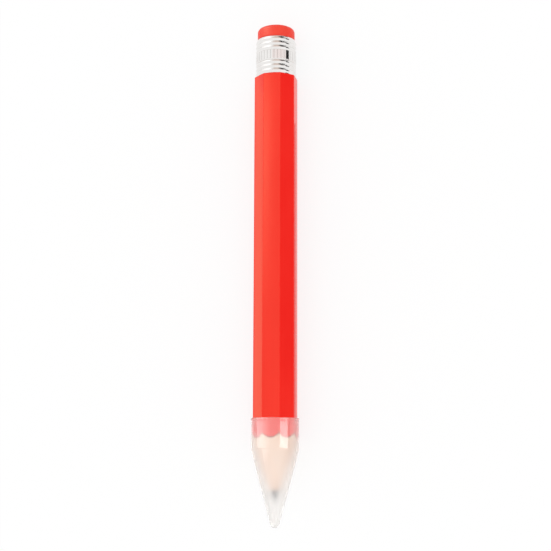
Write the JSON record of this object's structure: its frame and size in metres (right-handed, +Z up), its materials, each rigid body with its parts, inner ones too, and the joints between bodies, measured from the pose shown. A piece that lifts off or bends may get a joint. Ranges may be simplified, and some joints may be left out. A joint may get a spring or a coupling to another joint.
{
  "type": "giant pencil",
  "caption": "Oversized octagonal wooden pencil with red lacquer, a sharpened graphite point under a clear push-on cap, and a ringed metal ferrule that holds a rubber eraser.",
  "frame": {"origin": "below the middle of the pencil's length, on the surface that the cap's collar rests on", "axes": "+Y along the pencil from the point to the eraser, +Z up, square to one flat of the barrel"},
  "size_m": [0.033, 0.3504, 0.033],
  "materials": {
    "wood": "satin",
    "graphite": "satin",
    "lacquer": "gloss",
    "ferrule_metal": "gloss",
    "eraser_rubber": "matte",
    "clear_plastic": "gloss"
  },
  "bodies": {
    "pencil": {"upper_slat": "wood", "lower_slat": "wood", "graphite_lead": "graphite", "lacquer_coat": "lacquer", "ferrule": "ferrule_metal", "eraser": "eraser_rubber"},
    "cap": {"tip_cap": "clear_plastic"}
  },
  "joints": [
    {"name": "cap_pull", "type": "slide", "parent": "pencil", "child": "cap", "axis": [0, -1, 0], "range_m": [-0.008, 0.062]}
  ]
}
